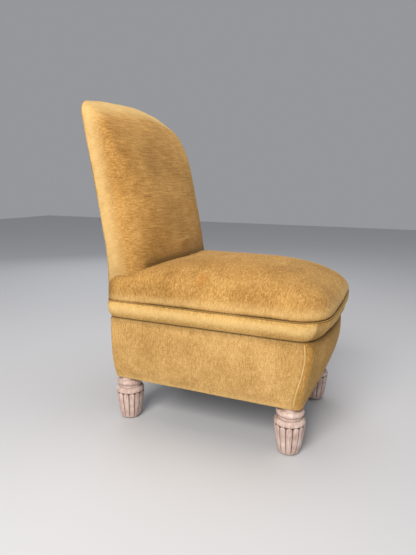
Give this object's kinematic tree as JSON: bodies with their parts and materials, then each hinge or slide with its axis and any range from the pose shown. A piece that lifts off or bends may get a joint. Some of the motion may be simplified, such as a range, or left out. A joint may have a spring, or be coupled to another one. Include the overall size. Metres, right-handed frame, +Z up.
{
  "type": "cocktail chair",
  "caption": "Armless upholstered cocktail chair with a domed sprung seat, a swelling apron, a raked padded back and short turned fluted legs.",
  "frame": {"origin": "on the floor under the middle of the chair's bounding box", "axes": "+Z up, the front of the seat faces -Y, the sitter's left is +X"},
  "size_m": [0.4328, 0.6064, 0.8102],
  "materials": {
    "gold_velvet": "cut-pile velvet, mottled nap",
    "limed_wood": "limed turned wood, matt, dark grooves",
    "beech": "planed beech, unfinished",
    "dowel_wood": "grooved dowel rod, unfinished",
    "glide_steel": "nickel-plated, dull",
    "fastener_steel": "blued steel",
    "spring_steel": "copper-washed wire",
    "jute_webbing": "herringbone jute",
    "hessian": "open plain weave",
    "twine": "laid twine",
    "fibre_stuffing": "curled fibre",
    "cotton_wadding": "felted cotton",
    "calico_lining": "plain calico",
    "dust_cloth": "black cambric"
  },
  "bodies": {
    "chair": {"front_right_leg": "limed_wood", "front_left_leg": "limed_wood", "rear_right_leg": "limed_wood", "rear_left_leg": "limed_wood", "leg_glides": "glide_steel", "rail_dowels": "dowel_wood", "corner_brace_screws": "fastener_steel", "back_frame_dowels": "dowel_wood", "right_side_rail": "beech", "left_side_rail": "beech", "front_rail": "beech", "rear_rail": "beech", "front_right_post": "beech", "front_left_post": "beech", "rear_right_post": "beech", "rear_left_post": "beech", "front_right_corner_brace": "beech", "front_left_corner_brace": "beech", "rear_right_corner_brace": "beech", "rear_left_corner_brace": "beech", "crest_rail": "beech", "stay_rail": "beech", "seat_webbing_lengthwise": "jute_webbing", "seat_webbing_crosswise": "jute_webbing", "seat_webbing_tacks": "fastener_steel", "seat_springs": "spring_steel", "spring_lacing": "twine", "seat_welt": "gold_velvet", "seat_top_cover": "gold_velvet", "front_edge_roll": "fibre_stuffing", "right_edge_roll": "fibre_stuffing", "left_edge_roll": "fibre_stuffing", "rear_edge_roll": "fibre_stuffing", "front_border": "gold_velvet", "right_border": "gold_velvet", "left_border": "gold_velvet", "rear_border": "gold_velvet", "front_apron_pad": "fibre_stuffing", "right_apron_pad": "fibre_stuffing", "left_apron_pad": "fibre_stuffing", "rear_apron_pad": "fibre_stuffing", "front_apron_cover": "gold_velvet", "right_apron_cover": "gold_velvet", "left_apron_cover": "gold_velvet", "rear_apron_cover": "gold_velvet", "back_webbing_crosswise": "jute_webbing", "back_webbing_upright": "jute_webbing", "back_webbing_tacks": "fastener_steel", "back_hessian": "hessian", "back_stuffing": "fibre_stuffing", "outside_back_cover": "gold_velvet", "outside_back_lining": "calico_lining", "inside_back_cover": "gold_velvet", "dust_cover": "dust_cloth", "dust_cover_tacks": "fastener_steel"},
    "seat_crown": {"seat_hessian": "hessian", "seat_stuffing": "fibre_stuffing", "seat_wadding": "cotton_wadding"}
  },
  "joints": [
    {"name": "seat_sink", "type": "slide", "parent": "chair", "child": "seat_crown", "axis": [0, 0, -1], "range_m": [0, 0.035], "stiffness_N_per_m": 20000, "springref_m": -0.004, "deforming": ["seat_springs", "spring_lacing", "seat_top_cover"]}
  ]
}
